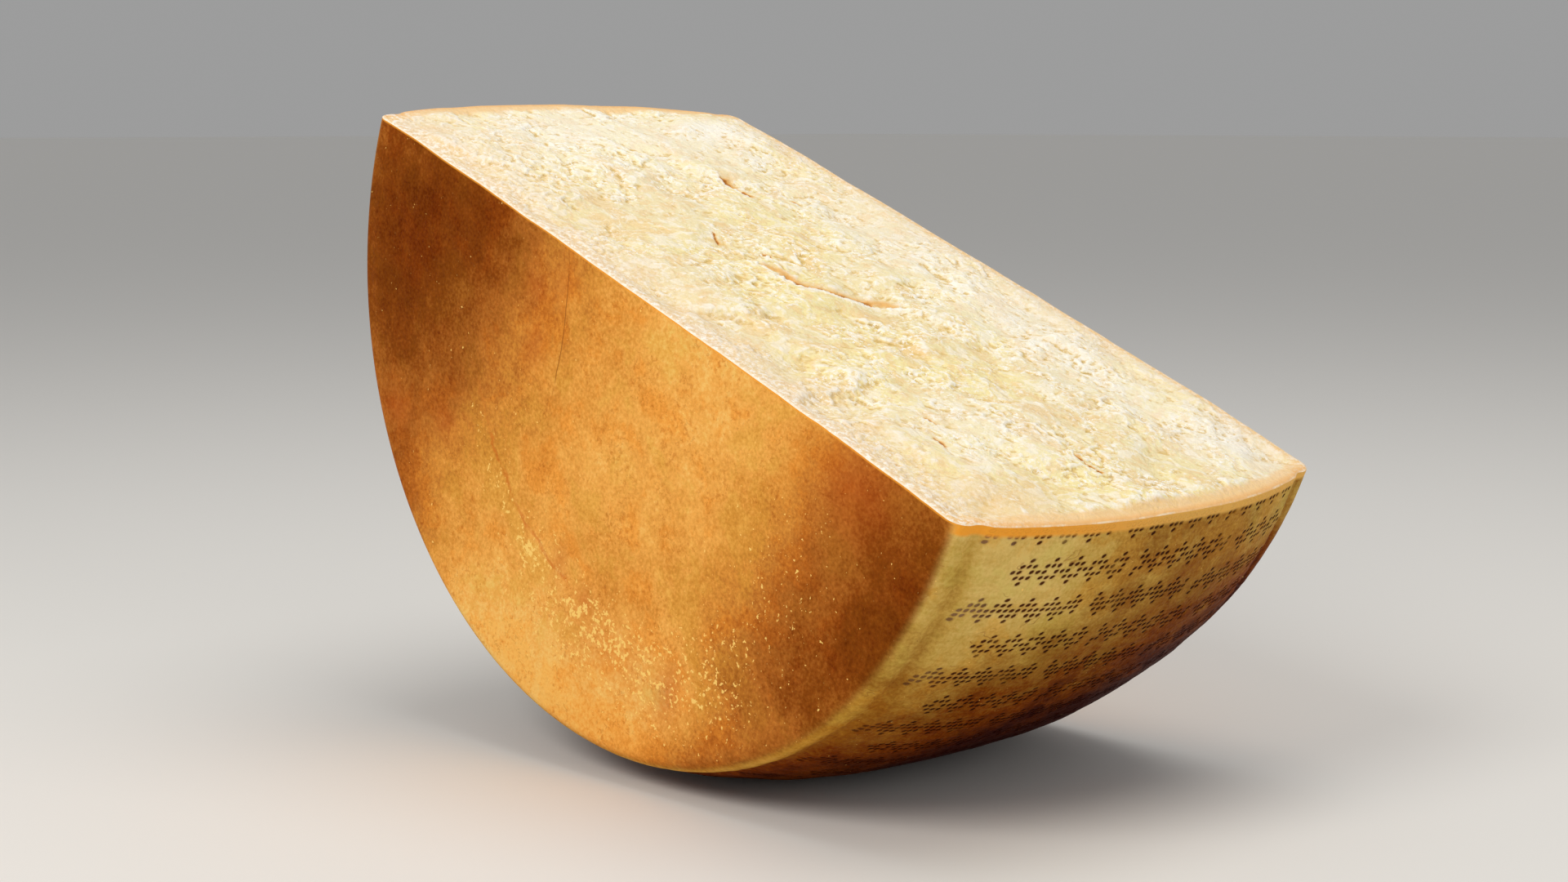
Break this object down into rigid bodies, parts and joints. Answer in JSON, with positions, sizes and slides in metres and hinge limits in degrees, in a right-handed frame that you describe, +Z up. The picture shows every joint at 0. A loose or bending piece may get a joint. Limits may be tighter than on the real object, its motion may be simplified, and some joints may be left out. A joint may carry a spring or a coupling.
{
  "type": "parmesan chunk",
  "caption": "Half wheel of hard aged cheese lying on its barrel side, with a rough broken face that slopes to one end, a brown rind and a small flat spot to rest on.",
  "frame": {"origin": "centre of the small flat spot that the half wheel rests on, straight below the wheel's axis", "axes": "+Z up; +Y along the wheel's axis, from the round face shown to the hidden one; +X towards the low end of the broken face"},
  "size_m": [0.4183, 0.226, 0.2963],
  "materials": {
    "rind": "oiled natural rind, golden orange to brown, satin; on the two round faces and the barrel side",
    "paste": "dry grainy cheese, pale straw with white flecks; on the broken face"
  },
  "bodies": {
    "root": {"half_wheel": "rind"}
  },
  "joints": []
}
